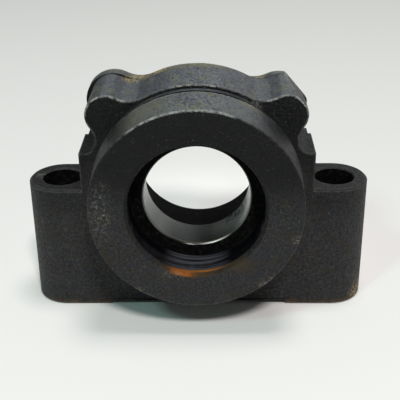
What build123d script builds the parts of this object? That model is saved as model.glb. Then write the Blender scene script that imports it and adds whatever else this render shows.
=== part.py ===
from build123d import *
import math
import os

# A cast iron bearing housing, one casting with machined bores. Sizes are in millimetres and +Z is up.
# The bearing axis runs along Y and the collar faces -Y.
# The origin is on the base plane, under the bearing axis and on the line of the two foot bolts.

# Feet and base
axis_height = 75.5
bolt_spacing = 153.0
bolt_hole_dia = 22.0
bolt_hole_chamfer = 0.8
foot_depth = 37.0
foot_top_drop = 2.0
foot_edge_break = 1.2
relief_width = 101.0
relief_height = 2.5
relief_corner_round = 1.5

# Ring with its two ears, and the shoulders that carry it on the feet
ring_dia = 116.4
ear_radius = 11.3
ear_circle_dia = 125.6
ear_angle = 40.7
ear_root_round = 15.0
ear_flat_angle = 40.0
ear_flat_reach_front = 10.6
ear_flat_reach_back = 7.2
shoulder_depth = 29.0
shoulder_step = 1.8
cheek_inset = 4.9
cheek_root_round = 7.0
ledge_drop = 21.5
ledge_length = 9.6
body_edge_break = 0.4

# Collar and the stepped neck between it and the ring
collar_face_dia = 112.0
collar_back_dia = 114.0
collar_length = 24.5
collar_face_break = 0.4
collar_back_break = 0.4
groove_dia = 110.0
groove_length = 4.0
neck_dia = 112.4
neck_length = 3.2

# Rear flange, which was cast a little to one side of the ring in front of it
flange_dia = 111.0
flange_thickness = 9.0
flange_lobe_radius = 15.8
flange_lobe_circle_dia = 117.0
flange_lobe_angle = 37.7
flange_root_round = 17.0
flange_shift_x = -1.3
flange_turn = -1.0
flange_edge_break = 0.5
tapped_hole_dia = 8.0
tapped_hole_depth = 20.0
drill_point_angle = 118.0

# Bores along the bearing axis
seat_dia = 72.0
front_seat_depth = 19.5
front_mouth_dia = 74.5
front_mouth_length = 4.0
land_dia = 57.2
land_length = 22.5
land_edge_break = 0.7
rear_mouth_break = 1.6

# How far a cutter or a joined piece runs past the face that it meets
overrun = 5.0

# Places along Y that follow from the sizes above
body_front = -foot_depth / 2
body_back = foot_depth / 2
neck_front = body_front - neck_length
collar_back = neck_front - groove_length
collar_front = collar_back - collar_length
flange_back = body_back + flange_thickness
land_front = collar_front + front_seat_depth
land_back = land_front + land_length


def facing_front(y):
    """A sketch plane across the bearing axis at y, seen from the collar side, with X right and Z up."""
    return Plane(origin=(0, y, axis_height), x_dir=(1, 0, 0), z_dir=(0, -1, 0))


def at_angle(radius, degrees, centre=(0, 0)):
    """The point at a radius and angle from a centre."""
    turn = math.radians(degrees)
    return (centre[0] + radius * math.cos(turn), centre[1] + radius * math.sin(turn))


def bearing(start, end):
    """The direction from one point to another, in degrees."""
    return math.degrees(math.atan2(end[1] - start[1], end[0] - start[0]))


def arc_between(centre, radius, first, last, way):
    """The arc round a centre from one direction to another, way 1 being anticlockwise and -1 clockwise."""
    sweep = way * ((way * (last - first)) % 360)
    return CenterArc(centre, radius, first, sweep)


def lobed_outline(disc_radius, lobe_radius, lobe_reach, angles, root_round):
    """A disc with round lobes centred at lobe_reach from its middle, each blended in by two hollow arcs."""
    to_root = disc_radius + root_round
    lobe_to_root = lobe_radius + root_round
    spread = math.degrees(
        math.acos((to_root**2 + lobe_reach**2 - lobe_to_root**2) / (2 * to_root * lobe_reach))
    )
    edges = []
    for angle, next_angle in zip(angles, angles[1:] + angles[:1]):
        lobe_centre = at_angle(lobe_reach, angle)
        before = at_angle(to_root, angle - spread)
        after = at_angle(to_root, angle + spread)
        to_before = bearing(lobe_centre, before)
        to_after = bearing(lobe_centre, after)
        edges.append(arc_between(before, root_round, angle - spread + 180, to_before + 180, -1))
        edges.append(arc_between(lobe_centre, lobe_radius, to_before, to_after, 1))
        edges.append(arc_between(after, root_round, to_after + 180, angle + spread + 180, -1))
        edges.append(arc_between((0, 0), disc_radius, angle + spread, next_angle - spread, 1))
    return make_face(edges)


def shoulder_outline(length):
    """The shoulders, with a wall under each ear and a ledge of a given length at its foot."""
    ear = at_angle(ear_circle_dia / 2, ear_angle)
    wall = ear[0] + ear_radius - cheek_inset
    ledge = ear[1] - ledge_drop
    end = wall + length
    hollow = cheek_root_round
    upper_x = wall + hollow
    upper_z = ear[1] - math.sqrt((ear_radius + hollow) ** 2 - (upper_x - ear[0]) ** 2)
    upper = (upper_x, upper_z)
    lower = (upper_x, ledge + hollow)
    touch = at_angle(ear_radius, bearing(ear, upper), ear)
    bottom = -axis_height / 2
    right = [
        Line((0, ear[1]), ear),
        Line(ear, touch),
        arc_between(upper, hollow, bearing(upper, ear), 180, 1),
        Line((wall, upper[1]), (wall, lower[1])),
        arc_between(lower, hollow, 180, 270, 1),
        Line((lower[0], ledge), (end, ledge)),
        Line((end, ledge), (end, bottom)),
        Line((end, bottom), (0, bottom)),
    ]
    left = [piece.mirror(Plane.YZ) for piece in right]
    return make_face(right + left)


def ear_flat():
    """A cutter for the flat ground across the upper right ear and the flange lobe behind it."""
    x, z = at_angle(ear_circle_dia / 2, ear_angle)
    across_x, across_z = at_angle(1, ear_flat_angle)
    reach_across = flange_lobe_radius + overrun
    reach_out = flange_lobe_circle_dia / 2 + reach_across
    profile = Polyline(
        (body_front - overrun, ear_flat_reach_front),
        (body_front, ear_flat_reach_front),
        (flange_back, ear_flat_reach_back),
        (flange_back + overrun, ear_flat_reach_back),
        (flange_back + overrun, reach_out),
        (body_front - overrun, reach_out),
        close=True,
    )
    plane = Plane(origin=(x, 0, axis_height + z), x_dir=(0, 1, 0), z_dir=(across_z, 0, -across_x))
    return extrude(plane * make_face(profile), reach_across, both=True)


def prism(outline, front, back, edge_break, broken_end):
    """The outline carried from front to back along Y, with the sharp edge at one end taken off."""
    solid = extrude(facing_front(front) * outline, -(back - front))
    faces = solid.faces().sort_by(Axis.Y)
    face = faces[0] if broken_end == "front" else faces[-1]
    return chamfer(face.outer_wire().edges(), edge_break)


def ring():
    """The ring with its ears, and the shoulders, which are flush at the front and step in near the back."""
    angles = [ear_angle, 180 - ear_angle]
    outline = lobed_outline(ring_dia / 2, ear_radius, ear_circle_dia / 2, angles, ear_root_round)
    eared = prism(outline, body_front, body_back, body_edge_break, "front")
    step = body_front + shoulder_depth
    wide = prism(shoulder_outline(ledge_length), body_front, step, body_edge_break, "front")
    narrow = facing_front(step) * shoulder_outline(ledge_length - shoulder_step)
    return eared + wide + extrude(narrow, step - body_back)


def feet():
    """The slab with round ends that makes both feet, with a shallow relief across its underside."""
    top = axis_height - foot_top_drop
    slab = extrude(SlotOverall(bolt_spacing + foot_depth, foot_depth), top)
    slab = chamfer(slab.faces().sort_by(Axis.Z)[-1].edges(), foot_edge_break)
    slab = chamfer(slab.faces().sort_by(Axis.Z)[0].edges(), foot_edge_break)
    relief = Rectangle(relief_width, 2 * relief_height)
    relief = fillet(relief.vertices(), relief_corner_round)
    return slab - extrude(Plane.XZ * relief, foot_depth, both=True)


def bolt_holes():
    """The two upright foot bolt holes, with their edges broken at the top."""
    top = axis_height - foot_top_drop
    radius = bolt_hole_dia / 2
    mouth = radius + bolt_hole_chamfer
    cutter = Pos(0, 0, top / 2) * Cylinder(radius, top + 2 * overrun)
    cutter += Pos(0, 0, top - bolt_hole_chamfer / 2) * Cone(radius, mouth, bolt_hole_chamfer)
    return [Pos(side * bolt_spacing / 2, 0) * cutter for side in (-1, 1)]


def turned(points):
    """A solid turned round the bearing axis from (y, radius) points."""
    profile = make_face(Polyline((points[0][0], 0), *points, (points[-1][0], 0), close=True))
    upright = Plane(origin=(0, 0, axis_height), x_dir=(0, 1, 0), z_dir=(1, 0, 0)) * profile
    return revolve(upright, Axis((0, 0, axis_height), (0, 1, 0)))


def collar():
    """The collar, wider at its back, and the groove and neck that join it to the ring."""
    face_radius = collar_face_dia / 2
    back_radius = collar_back_dia / 2
    return turned(
        [
            (collar_front, face_radius - collar_face_break),
            (collar_front + collar_face_break, face_radius),
            (collar_back - collar_back_break, back_radius),
            (collar_back, back_radius - collar_back_break),
            (collar_back, groove_dia / 2),
            (neck_front, groove_dia / 2),
            (neck_front, neck_dia / 2),
            (body_front + overrun, neck_dia / 2),
        ]
    )


def four_corners(angle):
    """The directions of the four lobes round the bearing axis, anticlockwise from the upper right."""
    return [angle, 180 - angle, 180 + angle, 360 - angle]


def rear_flange():
    """The four-lobed flange behind the ring, shifted and turned a little as it was cast."""
    corners = four_corners(flange_lobe_angle)
    reach = flange_lobe_circle_dia / 2
    outline = lobed_outline(flange_dia / 2, flange_lobe_radius, reach, corners, flange_root_round)
    placed = Pos(flange_shift_x, 0) * Rot(0, 0, flange_turn) * outline
    return prism(placed, body_back, flange_back, flange_edge_break, "back")


def tapped_holes():
    """The four blind holes behind the ears and below them, with the cone that the drill leaves."""
    radius = tapped_hole_dia / 2
    tip = tapped_hole_depth + radius / math.tan(math.radians(drill_point_angle / 2))
    profile = Polyline(
        (-overrun, 0),
        (-overrun, radius),
        (tapped_hole_depth, radius),
        (tip, 0),
        close=True,
    )
    drill = Rot(0, 0, -90) * revolve(make_face(profile), Axis.X)
    places = [at_angle(ear_circle_dia / 2, corner) for corner in four_corners(ear_angle)]
    return [Pos(x, flange_back, axis_height + z) * drill for x, z in places]


def bores():
    """The front bearing seat, the land in the middle and the rear bearing seat, as one cutter."""
    seat = seat_dia / 2
    land = land_dia / 2
    return turned(
        [
            (collar_front - overrun, front_mouth_dia / 2),
            (collar_front, front_mouth_dia / 2),
            (collar_front + front_mouth_length, seat),
            (land_front, seat),
            (land_front, land + land_edge_break),
            (land_front + land_edge_break, land),
            (land_back - land_edge_break, land),
            (land_back, land + land_edge_break),
            (land_back, seat),
            (flange_back - rear_mouth_break, seat),
            (flange_back, seat + rear_mouth_break),
            (flange_back + overrun, seat + rear_mouth_break),
        ]
    )


def housing():
    """The whole casting after grinding and machining."""
    casting = feet() + ring() + collar() + rear_flange()
    return casting - [ear_flat(), bores(), *bolt_holes(), *tapped_holes()]


os.makedirs("parts", exist_ok=True)
export_step(housing(), "parts/housing.step")
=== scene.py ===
import math

import bpy
from mathutils import Matrix, Vector


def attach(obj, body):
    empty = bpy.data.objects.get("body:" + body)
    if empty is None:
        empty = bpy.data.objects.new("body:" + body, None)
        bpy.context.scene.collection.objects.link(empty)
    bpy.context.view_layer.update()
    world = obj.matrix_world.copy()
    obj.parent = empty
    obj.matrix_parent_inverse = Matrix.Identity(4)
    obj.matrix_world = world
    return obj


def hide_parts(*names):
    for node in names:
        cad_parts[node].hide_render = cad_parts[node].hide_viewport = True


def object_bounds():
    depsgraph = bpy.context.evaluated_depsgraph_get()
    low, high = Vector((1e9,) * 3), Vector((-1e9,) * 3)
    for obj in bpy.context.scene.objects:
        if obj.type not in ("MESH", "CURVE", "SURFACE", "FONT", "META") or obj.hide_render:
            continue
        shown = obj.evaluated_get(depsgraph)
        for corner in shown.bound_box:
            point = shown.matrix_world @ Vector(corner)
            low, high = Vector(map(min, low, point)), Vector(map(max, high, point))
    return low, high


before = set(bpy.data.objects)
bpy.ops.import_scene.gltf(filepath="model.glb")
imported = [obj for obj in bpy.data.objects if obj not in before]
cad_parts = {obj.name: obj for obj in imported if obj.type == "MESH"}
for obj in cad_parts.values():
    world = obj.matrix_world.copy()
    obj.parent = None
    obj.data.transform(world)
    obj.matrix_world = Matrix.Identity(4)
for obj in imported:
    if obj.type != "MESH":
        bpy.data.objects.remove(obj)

cad_low, cad_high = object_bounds()

# The housing is one casting in grey iron, made in sand, so its edges are a little round. The feet's
# undersides, the collar and the bores were machined. The mesh starts as a merged copy of the solid,
# and its sharp edges are then rounded.
axis_height = 0.0755
merge_distance = 0.000005
flat_angle = math.radians(0.4)
sharp_angle = math.radians(24)
edge_round = 0.00015
edge_segments = 3
cad_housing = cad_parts["housing"]
casting = bpy.data.objects.new("housing_casting", cad_housing.data.copy())
bpy.context.scene.collection.objects.link(casting)
bpy.ops.object.select_all(action="DESELECT")
casting.select_set(True)
bpy.context.view_layer.objects.active = casting
bpy.ops.object.mode_set(mode="EDIT")
bpy.ops.mesh.select_all(action="SELECT")
bpy.ops.mesh.remove_doubles(threshold=merge_distance)
bpy.ops.mesh.dissolve_limited(angle_limit=flat_angle)
bpy.ops.object.mode_set(mode="OBJECT")
rounding = casting.modifiers.new("rounded_edges", "BEVEL")
rounding.limit_method = "ANGLE"
rounding.angle_limit = sharp_angle
rounding.width = edge_round
rounding.segments = edge_segments
rounding.miter_outer = "MITER_ARC"
bpy.ops.object.modifier_apply(modifier=rounding.name)
bpy.ops.object.shade_smooth_by_angle(angle=sharp_angle)

# The cast skin carries a thin coat of dull black paint. It is rough from the sand, dusty on top,
# rubbed down to the iron along its edges, where a highlight is painted too, and rusty in the corners
# and round the soles.
upper_black = (0.0025, 0.0025, 0.0030)
# The lower black is lighter because it is painted light from the floor.
floor_lit_black = (0.011, 0.011, 0.012)
mottled_grey = (0.036, 0.035, 0.036)
smeared_grey = (0.036, 0.034, 0.024)
faint_brown = (0.022, 0.017, 0.010)
faint_blue = (0.017, 0.018, 0.030)


def add_node(tree, kind, **settings):
    """A shader node with the given settings."""
    made = tree.nodes.new(kind)
    for name, value in settings.items():
        setattr(made, name, value)
    return made


def join(socket_out, socket_in):
    """Joins an output to an input."""
    socket_in.id_data.links.new(socket_out, socket_in)


def new_finish(name, colour, roughness, specular):
    """A material and its Principled shader, with one colour, roughness and specular level."""
    material = bpy.data.materials.new(name)
    material.use_nodes = True
    shader = material.node_tree.nodes["Principled BSDF"]
    shader.inputs["Base Color"].default_value = (*colour, 1)
    shader.inputs["Roughness"].default_value = roughness
    shader.inputs["Specular IOR Level"].default_value = specular
    return material, shader


def object_place(material):
    """The Object coordinates, which a material's patterns follow."""
    return add_node(material.node_tree, "ShaderNodeTexCoord").outputs["Object"]


def plain(material, colour):
    """One colour, as the first coat of a material."""
    made = add_node(material.node_tree, "ShaderNodeRGB")
    made.outputs["Color"].default_value = (*colour, 1)
    return made.outputs["Color"]


def parts_of(vector):
    """The X, the Y and the Z of a vector."""
    split = add_node(vector.id_data, "ShaderNodeSeparateXYZ")
    join(vector, split.inputs["Vector"])
    return split.outputs["X"], split.outputs["Y"], split.outputs["Z"]


def stretched(vector, factors):
    """A vector multiplied by a factor for each axis. A small factor draws a pattern out."""
    made = add_node(vector.id_data, "ShaderNodeVectorMath", operation="MULTIPLY")
    made.inputs[1].default_value = factors
    join(vector, made.inputs[0])
    return made.outputs["Vector"]


def length_of(vector):
    """The length of a vector."""
    made = add_node(vector.id_data, "ShaderNodeVectorMath", operation="LENGTH")
    join(vector, made.inputs[0])
    return made.outputs["Value"]


def times(one, other):
    """The product of two values, or of a value and a number."""
    made = add_node(one.id_data, "ShaderNodeMath", operation="MULTIPLY")
    join(one, made.inputs[0])
    if isinstance(other, (int, float)):
        made.inputs[1].default_value = other
    else:
        join(other, made.inputs[1])
    return made.outputs["Value"]


def plus(one, other):
    """The sum of two values."""
    made = add_node(one.id_data, "ShaderNodeMath", operation="ADD")
    join(one, made.inputs[0])
    join(other, made.inputs[1])
    return made.outputs["Value"]


def ramp(value, low, high, to_low=0.0, to_high=1.0):
    """The value, smoothly carried from the span low to high onto the span to_low to to_high."""
    made = add_node(value.id_data, "ShaderNodeMapRange", interpolation_type="SMOOTHSTEP")
    join(value, made.inputs["Value"])
    made.inputs["From Min"].default_value = low
    made.inputs["From Max"].default_value = high
    made.inputs["To Min"].default_value = to_low
    made.inputs["To Max"].default_value = to_high
    return made.outputs["Result"]


def fall(value, low, high):
    """One below the value low, falling to nothing at the value high."""
    return ramp(value, low, high, 1.0, 0.0)


def band(value, start, full, fading, end):
    """One between the values full and fading, and nothing before start and after end."""
    return times(ramp(value, start, full), fall(value, fading, end))


def spare(value, mask, left=0.0):
    """The value, with only a share of it left where the mask is one."""
    return times(value, ramp(mask, 0.0, 1.0, 1.0, left))


def near(place, centre, reach, factors=(1, 1, 1)):
    """One at a point, fading to nothing at its reach, which is longer where a factor is small."""
    offset = add_node(place.id_data, "ShaderNodeVectorMath", operation="SUBTRACT")
    offset.inputs[1].default_value = centre
    join(place, offset.inputs[0])
    return fall(length_of(stretched(offset.outputs["Vector"], factors)), 0.0, reach)


def grain(place, scale, detail=4, roughness=0.6):
    """Fractal noise at a number of lumps to the metre."""
    made = add_node(place.id_data, "ShaderNodeTexNoise")
    made.inputs["Scale"].default_value = scale
    made.inputs["Detail"].default_value = detail
    made.inputs["Roughness"].default_value = roughness
    join(place, made.inputs["Vector"])
    return made.outputs["Fac"]


def patches(place, scale, detail, roughness, low, high):
    """Patches of noise: nothing where the noise is below low, and one where it is above high."""
    return ramp(grain(place, scale, detail, roughness), low, high)


def coat(under, over, amount):
    """Lays a colour over what is under it, by an amount."""
    made = add_node(under.id_data, "ShaderNodeMix", data_type="RGBA")
    join(amount, made.inputs["Factor"])
    join(under, made.inputs["A"])
    made.inputs["B"].default_value = (*over, 1)
    return made.outputs["Result"]


def coat_spots(under, over, place, spots, cover):
    """Lays a colour round each spot, a centre with its reach and factors, in the cover's patches."""
    for centre, reach, factors in spots:
        under = coat(under, over, times(near(place, centre, reach, factors), cover))
    return under


def relief(shader, height, strength, distance):
    """Gives a shader a fine relief from a height."""
    made = add_node(height.id_data, "ShaderNodeBump")
    made.inputs["Strength"].default_value = strength
    made.inputs["Distance"].default_value = distance
    join(height, made.inputs["Height"])
    join(made.outputs["Normal"], shader.inputs["Normal"])


drawn_out_along = (1, 0.45, 1)
paint, paint_shader = new_finish(
    "worn_black_paint", (0.01, 0.01, 0.011), roughness=0.45, specular=0.22
)
place = object_place(paint)
skin = stretched(place, drawn_out_along)
to_right, to_back, height = parts_of(place)
geometry = add_node(paint.node_tree, "ShaderNodeNewGeometry")
facing_up = parts_of(geometry.outputs["Normal"])[2]

off_axis = add_node(paint.node_tree, "ShaderNodeVectorMath", operation="MULTIPLY_ADD")
off_axis.inputs[1].default_value = (1, 0, 1)
off_axis.inputs[2].default_value = (0, 0, -axis_height)
join(place, off_axis.inputs[0])
from_axis = length_of(off_axis.outputs["Vector"])

off_middle = add_node(paint.node_tree, "ShaderNodeMath", operation="ABSOLUTE")
join(to_right, off_middle.inputs[0])
from_middle = off_middle.outputs["Value"]

# Below the bearing axis the paint is greyer: this is painted light, bounced up from the floor, and it
# is weaker on faces that look up. There the paint is also mottled, with a brown and a blue cast in
# places. The feet are darker towards their tops.
lower = ramp(height, 0.068, 0.098, 1.0, 0.05)
lower = times(lower, ramp(facing_up, 0.5, 1.0, 1.0, 0.3))
high_on_feet = times(ramp(height, 0.045, 0.070), ramp(from_middle, 0.056, 0.062))
lower = spare(lower, high_on_feet, 0.45)
mottle = times(patches(skin, 750, 4, 0.7, 0.42, 0.62), lower)
smears = times(patches(skin, 90, 7, 0.7, 0.50, 0.66), lower)
brown_cast = times(patches(skin, 160, 5, 0.7, 0.50, 0.62), lower)
blue_cast = times(patches(skin, 230, 4, 0.65, 0.52, 0.62), lower)
colour = plain(paint, upper_black)
# Painted light from the floor greys the lower half.
colour = coat(colour, floor_lit_black, lower)
colour = coat(colour, mottled_grey, mottle)
colour = coat(colour, smeared_grey, times(smears, 0.4))
colour = coat(colour, faint_brown, times(brown_cast, 0.6))
colour = coat(colour, faint_blue, times(blue_cast, 0.6))

# Grey dust lies on what faces up, down to the ears, with violet and olive in it. The neck behind the
# collar keeps most of its black, and the seam in front of the rear flange all of it; behind the ears
# the seam is also painted near black as a shadow line.
seam_shadow_black = (0.0008, 0.0008, 0.0008)
dust_grey = (0.075, 0.084, 0.096)
level_grey = (0.120, 0.130, 0.140)
collar_grey = (0.130, 0.140, 0.135)
dusty_violet = (0.074, 0.070, 0.108)
dusty_olive = (0.118, 0.122, 0.070)
grit_black = (0.022, 0.024, 0.028)
speck_grey = (0.17, 0.18, 0.18)
collar_back = (-0.0262, -0.0257)
in_neck = times(ramp(to_back, *collar_back), fall(from_axis, 0.0572, 0.0576))
seam = times(band(to_back, 0.0173, 0.0177, 0.0190, 0.0194), ramp(from_axis, 0.0580, 0.0600))
on_top = times(ramp(facing_up, 0.35, 1.0), ramp(height, 0.110, 0.138, 0.0, 1.15))
on_top = spare(on_top, seam)
on_top = spare(on_top, in_neck, 0.35)
shadowed_seam_behind_ears = times(seam, ramp(height, 0.112, 0.116))
dust = times(on_top, ramp(grain(skin, 260, 6, 0.7), 0.30, 0.66, 0.5, 1.0))
level = times(on_top, ramp(facing_up, 0.94, 0.99))
on_collar = times(times(on_top, fall(to_back, *collar_back)), ramp(facing_up, 0.70, 0.85))
violet = times(on_top, patches(skin, 330, 3, 0.6, 0.50, 0.60))
olive = times(on_top, patches(skin, 210, 5, 0.7, 0.50, 0.62))
grit = times(on_top, patches(skin, 900, 4, 0.75, 0.46, 0.60))
specks = times(on_top, patches(skin, 1000, 3, 0.7, 0.60, 0.70))
# A painted shadow darkens the seam behind the ears.
colour = coat(colour, seam_shadow_black, shadowed_seam_behind_ears)
colour = coat(colour, dust_grey, dust)
colour = coat(colour, level_grey, times(level, 0.8))
colour = coat(colour, collar_grey, times(on_collar, 0.6))
colour = coat(colour, dusty_violet, times(violet, 0.75))
colour = coat(colour, dusty_olive, times(olive, 0.75))
colour = coat(colour, grit_black, times(grit, 0.85))
colour = coat(colour, speck_grey, times(specks, 0.8))

# Yellowish stains lie on the collar and in the middle of the ring. Along the ring's back rim a
# yellowish highlight is painted.
stain_yellow = (0.155, 0.145, 0.080)
back_rim_highlight = (0.16, 0.155, 0.11)
stained_spots = [
    ((-0.0330, -0.0350, 0.1200), 0.026, (1, 1, 1)),
    ((0.0500, -0.0300, 0.1000), 0.026, (1, 1, 1)),
    ((0.0290, -0.0270, 0.1240), 0.012, (0.7, 1.6, 1)),
    ((0.0000, 0.0180, 0.1337), 0.024, (0.8, 2.6, 1)),
]
stains = times(patches(place, 330, 6, 0.75, 0.36, 0.60), on_top)
colour = coat_spots(colour, stain_yellow, place, stained_spots, stains)
highlit_back_rim = times(on_top, ramp(to_back, 0.0220, 0.0250))
# A painted highlight lightens the ring's back rim.
colour = coat(colour, back_rim_highlight, times(highlit_back_rim, 0.5))

# Dry rust sits in the hollows beside the ears and at the foot on the right. Crumbs of it stick to
# the collar's face.
dry_rust = (0.46, 0.33, 0.12)
crumb_brown = (0.17, 0.145, 0.105)
rust_spots = [
    ((-0.0362, 0.0160, 0.1247), 0.0075, (1, 1, 1)),
    ((-0.0330, 0.0230, 0.1245), 0.0075, (1, 0.8, 1)),
    ((-0.0220, 0.0170, 0.1290), 0.0130, (0.8, 2.2, 1)),
    ((0.0345, 0.0230, 0.1233), 0.0050, (1, 1, 1)),
    ((0.0929, -0.0086, 0.0028), 0.0120, (1, 1, 1)),
]
crumb_spots = [
    ((0.0520, -0.0500, 0.0600), 0.0040, (1, 1, 1)),
    ((-0.0310, -0.0502, 0.0289), 0.0035, (1, 1, 1)),
    ((0.0362, -0.0502, 0.0325), 0.0050, (1, 1, 1)),
    ((0.0400, -0.0502, 0.0360), 0.0035, (1, 1, 1)),
]
rust_patches = patches(place, 820, 5, 0.75, 0.49, 0.55)
colour = coat_spots(colour, dry_rust, place, rust_spots, rust_patches)
colour = coat_spots(colour, crumb_brown, place, crumb_spots, rust_patches)

# The lowest part of the collar's mouth has rusted orange, brightest a little left of the middle, and
# has left a brown stain on the face at its right.
mouth_brown = (0.05, 0.028, 0.010)
mouth_orange = (0.33, 0.09, 0.008)
line_orange = (0.26, 0.09, 0.015)
stain_brown = (0.040, 0.028, 0.012)
mouth = times(band(from_axis, 0.0360, 0.0364, 0.0372, 0.0390), ramp(to_back, -0.0455, -0.0470))
brown_rust = times(mouth, near(place, (-0.0030, -0.0490, 0.0385), 0.0240))
orange_rust = times(mouth, near(place, (-0.0085, -0.0485, 0.0388), 0.0105))
orange_rust = times(orange_rust, patches(place, 420, 7, 0.8, 0.38, 0.54))
inner_line = band(from_axis, 0.0360, 0.0361, 0.0363, 0.0366)
inner_line = times(inner_line, near(place, (0.0030, -0.0480, 0.0395), 0.0190))
beside_mouth = near(place, (0.0215, -0.0500, 0.0455), 0.0110, (0.8, 1, 1.3))
colour = coat(colour, mouth_brown, brown_rust)
colour = coat(colour, mouth_orange, orange_rust)
colour = coat(colour, line_orange, inner_line)
colour = coat(colour, stain_brown, times(beside_mouth, 0.8))

# Above the relief under the middle, the lowest part of the face and the relief's inside are painted
# black as shade, and the soles have a rusty rim.
relief_shade_black = (0.002, 0.002, 0.002)
sole_brown = (0.085, 0.045, 0.018)
over_relief = fall(from_middle, 0.0495, 0.0510)
painted_relief_shade = times(over_relief, fall(height, 0.0036, 0.0043))
sole_rim = spare(fall(height, 0.0008, 0.0045), over_relief)
sole_rust = times(sole_rim, patches(place, 180, 7, 0.7, 0.36, 0.62))
# Painted shade blackens the relief's mouth.
colour = coat(colour, relief_shade_black, painted_relief_shade)
colour = coat(colour, sole_brown, sole_rust)

# A few places are rubbed grey, and tiny chips are missing all over.
rubbed_grey = (0.17, 0.165, 0.15)
chip_grey = (0.3, 0.3, 0.28)
rubbed_spots = [
    ((-0.0490, -0.0502, 0.0760), 0.013, (1.5, 1, 0.5)),
    ((-0.0890, 0.0020, 0.0735), 0.007, (1, 1, 1)),
    ((-0.0135, -0.0502, 0.0390), 0.006, (0.7, 1, 2)),
    ((0.0293, -0.0200, 0.1234), 0.008, (1, 1, 1)),
]
scuffs = patches(place, 520, 7, 0.75, 0.48, 0.66)
colour = coat_spots(colour, rubbed_grey, place, rubbed_spots, scuffs)
chips = patches(place, 1100, 3, 0.5, 0.68, 0.75)
colour = coat(colour, chip_grey, times(chips, 0.35))

# The edges are rubbed down to bright iron, and the same light colour is a painted highlight along
# them, most of all high up. The mouth's edge, the neck and the seam aren't, and the edges over the
# neck and down the collar's sides only a little.
bare_iron_and_highlight = (0.55, 0.55, 0.51)
worn_width = 0.0014
bevelled = add_node(paint.node_tree, "ShaderNodeBevel", samples=6)
bevelled.inputs["Radius"].default_value = worn_width
facing = add_node(paint.node_tree, "ShaderNodeVectorMath", operation="DOT_PRODUCT")
join(bevelled.outputs["Normal"], facing.inputs[0])
join(geometry.outputs["Normal"], facing.inputs[1])
at_edges = fall(facing.outputs["Value"], 0.95, 0.995)
worn = patches(place, 320, 8, 0.8, 0.40, 0.54)
round_mouth = times(ramp(to_back, -0.0480, -0.0490), fall(from_axis, 0.0390, 0.0400))
over_neck = band(from_middle, 0.0090, 0.0160, 0.0340, 0.0400)
over_neck = times(over_neck, ramp(to_back, -0.0215, -0.0205))
down_sides = plus(ramp(to_right, 0.0150, 0.0240), fall(to_right, -0.0400, -0.0280))
down_sides = times(down_sides, ramp(to_back, -0.0450, -0.0460))
bared_and_highlit = ramp(height, 0.100, 0.128, 0.12, 1.0)
bared_and_highlit = spare(bared_and_highlit, plus(in_neck, seam))
bared_and_highlit = spare(bared_and_highlit, round_mouth)
bared_and_highlit = spare(bared_and_highlit, over_neck, 0.2)
bared_and_highlit = spare(bared_and_highlit, down_sides, 0.2)
rubbed_and_highlit_edges = times(times(at_edges, worn), bared_and_highlit)
# Worn iron and a painted highlight lighten the edges.
colour = coat(colour, bare_iron_and_highlight, rubbed_and_highlit_edges)
join(colour, paint_shader.inputs["Base Color"])

# The sand has left the skin rough, and the lower half is duller.
roughness = ramp(grain(place, 520), 0.3, 0.7, 0.32, 0.55)
lower_roughness = ramp(height, 0.085, 0.112, 0.15, 0.0)
join(plus(roughness, lower_roughness), paint_shader.inputs["Roughness"])
sand = plus(grain(place, 1300, 3), times(grain(place, 520, 3), 1.6))
relief(paint_shader, sand, strength=0.9, distance=0.0006)

# The bores were turned on a lathe and are oiled black iron, so they are smooth and shine, with fine
# rings left by the tool. The front seat is black, with a bluish grey reflection painted low down and
# broken into wide rings. The land has a grey reflection painted at both sides, a bright glint painted
# on its front lip, and a patch of pits on the right, with a grey reflection painted round them.
bore_black = (0.002, 0.002, 0.003)
seat_reflection_grey = (0.065, 0.064, 0.075)
land_black = (0.011, 0.011, 0.011)
land_side_reflection = (0.11, 0.125, 0.115)
line_brown = (0.09, 0.075, 0.045)
lip_glint_white = (0.75, 0.75, 0.72)
patch_reflection_grey = (0.085, 0.092, 0.086)
pit_black = (0.003, 0.003, 0.003)
pit_depth = 6.0
bored, bored_shader = new_finish(
    "oiled_bored_iron", (0.012, 0.012, 0.014), roughness=0.2, specular=0.2
)
bore_place = object_place(bored)
bore_right, bore_back, bore_height = parts_of(bore_place)
fine_rings = grain(stretched(bore_place, (12, 2600, 12)), 1, 2, 0.5)
wide_rings = grain(stretched(bore_place, (20, 700, 20)), 1, 3, 0.5)
seat = fall(bore_back, -0.0312, -0.0309)
low_seat = times(seat, fall(bore_height, 0.0400, 0.0450))
ringed_seat_reflection = times(low_seat, ramp(wide_rings, 0.34, 0.60))
land = band(bore_back, -0.0309, -0.0303, -0.0085, -0.0080)
left_reflecting_side = times(land, fall(bore_right, -0.0240, -0.0120))
right_reflecting_side = times(land, ramp(bore_right, 0.0180, 0.0260))
tool_line = band(bore_back, -0.0302, -0.0299, -0.0293, -0.0288)
lip = band(bore_back, -0.03065, -0.03055, -0.0302, -0.0299)
lip = times(lip, near(bore_place, (0.0090, -0.0305, 0.0490), 0.011, (1, 1, 0.6)))
dull_patch = near(bore_place, (0.0190, -0.0130, 0.0550), 0.019, (0.8, 0.8, 1))
pitted = near(bore_place, (0.0228, -0.0115, 0.0575), 0.016, (0.8, 1, 1))
pitted = times(pitted, patches(bore_place, 460, 6, 0.8, 0.49, 0.54))
colour = plain(bored, bore_black)
# Painted reflection: bluish grey low in the front seat.
colour = coat(colour, seat_reflection_grey, ringed_seat_reflection)
colour = coat(colour, land_black, times(land, 0.8))
# Painted reflection: grey on both sides of the land.
colour = coat(colour, land_side_reflection, plus(left_reflecting_side, right_reflecting_side))
colour = coat(colour, line_brown, times(tool_line, 0.8))
# Painted glint: a bright line on the land's front lip.
colour = coat(colour, lip_glint_white, lip)
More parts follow.
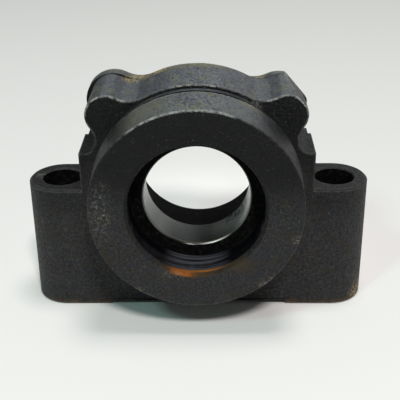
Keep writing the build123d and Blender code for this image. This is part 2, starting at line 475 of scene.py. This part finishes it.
# Painted reflection: grey over the duller patch round the pits.
colour = coat(colour, patch_reflection_grey, times(dull_patch, 0.9))
colour = coat(colour, pit_black, pitted)
join(colour, bored_shader.inputs["Base Color"])
dullness = plus(ramp(fine_rings, 0.3, 0.7, 0.14, 0.26), times(seat, 0.1))
dullness = plus(dullness, times(dull_patch, 0.3))
dullness = plus(dullness, times(pitted, 0.5))
join(dullness, bored_shader.inputs["Roughness"])
rings_and_pits = plus(fine_rings, times(pitted, -pit_depth))
relief(bored_shader, rings_and_pits, strength=0.25, distance=0.0001)

# The rear seat, the step in front of the land and the bolt holes are a dull near black, flecked with
# lighter crumbs.
near_black = (0.0015, 0.0015, 0.0018)
crumb_black = (0.012, 0.011, 0.009)
dull_black, dull_black_shader = new_finish(
    "dull_black_finish", (0.002, 0.002, 0.002), roughness=0.8, specular=0.05
)
dark_crumbs = patches(object_place(dull_black), 420, 6, 0.7, 0.46, 0.70)
colour = coat(plain(dull_black, near_black), crumb_black, dark_crumbs)
join(colour, dull_black_shader.inputs["Base Color"])
relief(dull_black_shader, dark_crumbs, strength=0.5, distance=0.0004)

# The bores shine back to the land's end, the rest inside is dull near black, and all other faces are
# painted.
bore_reach = 0.0365
land_end = -0.0087
bolt_place = 0.0765
bolt_hole_reach = 0.0112
end_margin = 0.0001
least_facing = 0.95
casting.data.materials.clear()
for finish in (paint, bored, dull_black):
    casting.data.materials.append(finish)
bored_slot = 1
dull_black_slot = 2
for face in casting.data.polygons:
    corners = [casting.data.vertices[i].co for i in face.vertices]
    out_from_bearing = max(math.hypot(corner.x, corner.z - axis_height) for corner in corners)
    out_from_bolt = max(math.hypot(abs(corner.x) - bolt_place, corner.y) for corner in corners)
    between_ends = cad_low.y + end_margin < face.center.y < cad_high.y - end_margin
    faces_front = face.normal.y < -least_facing
    if out_from_bearing < bore_reach and between_ends:
        face.material_index = dull_black_slot if face.center.y > land_end or faces_front else bored_slot
    elif out_from_bolt < bolt_hole_reach:
        face.material_index = dull_black_slot
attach(casting, "root")
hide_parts("housing")

# The floor is a wide, plain, pale sheet with no gloss. The housing stands on it.
floor_size = 30
floor_colour = (0.80, 0.785, 0.77)
bpy.ops.object.select_all(action="DESELECT")
bpy.ops.mesh.primitive_plane_add(size=floor_size, location=(0, 0, 0))
floor = bpy.context.object
floor.name = "floor"
floor_finish = new_finish("pale_floor", floor_colour, roughness=0.9, specular=0.0)[0]
floor.data.materials.append(floor_finish)

# Three lamps hang above the housing, each with its place, size, power and colour. The two in front
# throw the short dark shadow under the collar, the left one weak and greenish. The one straight
# above lights the floor all round.
lamps = [
    ("right_lamp", (0.27, -1.32, 1.76), 0.34, 30.0, (1.0, 0.97, 0.96)),
    ("left_lamp", (-0.95, -1.26, 1.76), 0.36, 8.5, (0.55, 1.0, 0.92)),
    ("top_lamp", (0.30, -0.02, 3.00), 0.95, 36.0, (1.0, 0.98, 0.98)),
]
for lamp_name, lamp_place, lamp_size, lamp_power, lamp_colour in lamps:
    bpy.ops.object.light_add(type="AREA", location=lamp_place)
    lamp = bpy.context.object
    lamp.name = lamp_name
    lamp.data.shape = "DISK"
    lamp.data.size = lamp_size
    lamp.data.energy = lamp_power
    lamp.data.color = lamp_colour
    lamp.rotation_euler = Vector(lamp_place).to_track_quat("Z", "Y").to_euler()

# A small spot behind fills in the shadow on the floor that is seen through the bore.
spot_place = Vector((0.0, 0.36, 0.50))
spot_target = Vector((0.0, 0.072, 0.0))
bpy.ops.object.light_add(type="SPOT", location=spot_place)
spot = bpy.context.object
spot.name = "floor_spot"
spot.data.energy = 5.6
spot.data.spot_size = math.radians(19)
spot.data.spot_blend = 1.0
spot.data.shadow_soft_size = 0.05
spot.rotation_euler = (spot_place - spot_target).to_track_quat("Z", "Y").to_euler()

# The room is pale where the camera or a reflection sees it, and gives a weak greenish fill light.
room_white = (0.86, 0.88, 0.86)
fill_colour = (0.80, 0.90, 0.86)
fill_strength = 0.17
room = bpy.data.worlds.new("pale_room")
bpy.context.scene.world = room
room.use_nodes = True
fill = room.node_tree.nodes["Background"]
fill.inputs["Color"].default_value = (*fill_colour, 1)
fill.inputs["Strength"].default_value = fill_strength
seen = add_node(room.node_tree, "ShaderNodeBackground")
seen.inputs["Color"].default_value = (*room_white, 1)
path = add_node(room.node_tree, "ShaderNodeLightPath")
seen_or_mirrored = add_node(room.node_tree, "ShaderNodeMath", operation="MAXIMUM")
seen_at_all = add_node(room.node_tree, "ShaderNodeMath", operation="MAXIMUM")
choose = add_node(room.node_tree, "ShaderNodeMixShader")
join(path.outputs["Is Camera Ray"], seen_or_mirrored.inputs[0])
join(path.outputs["Is Glossy Ray"], seen_or_mirrored.inputs[1])
join(seen_or_mirrored.outputs["Value"], seen_at_all.inputs[0])
join(path.outputs["Is Transmission Ray"], seen_at_all.inputs[1])
join(seen_at_all.outputs["Value"], choose.inputs["Fac"])
join(fill.outputs["Background"], choose.inputs[1])
join(seen.outputs["Background"], choose.inputs[2])
join(choose.outputs["Shader"], room.node_tree.nodes["World Output"].inputs["Surface"])

# The dark card is a black block just above the floor, some way in front of the housing. It is seen
# only in the housing's gloss, so that the upper upright faces stay black. The camera looks through it.
block_black = (0.01, 0.01, 0.01)
block_back = -0.24
block_size = 0.8
block_gap = 0.004
bpy.ops.object.select_all(action="DESELECT")
bpy.ops.mesh.primitive_plane_add(size=block_size, location=(0, block_back - block_size / 2, block_gap))
block = bpy.context.object
block.name = "dark_card"
bpy.ops.object.mode_set(mode="EDIT")
bpy.ops.mesh.select_all(action="SELECT")
bpy.ops.mesh.extrude_region_move(TRANSFORM_OT_translate={"value": (0, 0, block_size)})
bpy.ops.object.mode_set(mode="OBJECT")
block_finish = new_finish("black_card", block_black, roughness=1.0, specular=0.5)[0]
block.data.materials.append(block_finish)
block.visible_camera = False
block.visible_diffuse = False
block.visible_shadow = False

# A second card stands behind on the left, grey and fading to white towards the right. It dulls the
# gloss of the surfaces that slope left.
card_grey = (0.12, 0.12, 0.11)
card_height = 1.15
card_widening = 1.43
card_place = (-0.53, 1.20, 0.58)
bpy.ops.object.select_all(action="DESELECT")
bpy.ops.mesh.primitive_plane_add(size=card_height, location=card_place, rotation=(math.pi / 2, 0, 0))
card = bpy.context.object
card.name = "grey_card"
card.scale.x = card_widening
card_finish, card_shader = new_finish("grey_card", card_grey, roughness=1.0, specular=0.0)
across_card = parts_of(object_place(card_finish))[0]
shade = coat(plain(card_finish, card_grey), room_white, ramp(across_card, 0.17, 0.56))
join(shade, card_shader.inputs["Base Color"])
card.data.materials.append(card_finish)
card.visible_camera = False
card.visible_diffuse = False
card.visible_shadow = False

# The camera stands in front of the collar, half a metre away, and looks down on it a little.
# It is a long lens, turned and tipped by about a degree, as a hand-held camera is.
camera_place = (0.01029, -0.44284, 0.27748)
camera_turn = math.radians(1.16)
camera_tilt = math.radians(26.34)
camera_roll = math.radians(-0.66)
lens_length = 77.80
sensor_width = 36.0
nearest_seen = 0.01
farthest_seen = 60.0
bpy.ops.object.camera_add()
camera = bpy.context.object
camera.name = "photo_camera"
camera.data.lens = lens_length
camera.data.sensor_width = sensor_width
camera.data.shift_x = -0.0014
camera.data.shift_y = 0.0006
camera.data.clip_start = nearest_seen
camera.data.clip_end = farthest_seen
camera.matrix_world = (
    Matrix.Translation(camera_place)
    @ Matrix.Rotation(camera_turn, 4, "Z")
    @ Matrix.Rotation(math.pi / 2 - camera_tilt, 4, "X")
    @ Matrix.Rotation(camera_roll, 4, "Z")
)
bpy.context.scene.camera = camera
bpy.context.scene.view_settings.view_transform = "Standard"
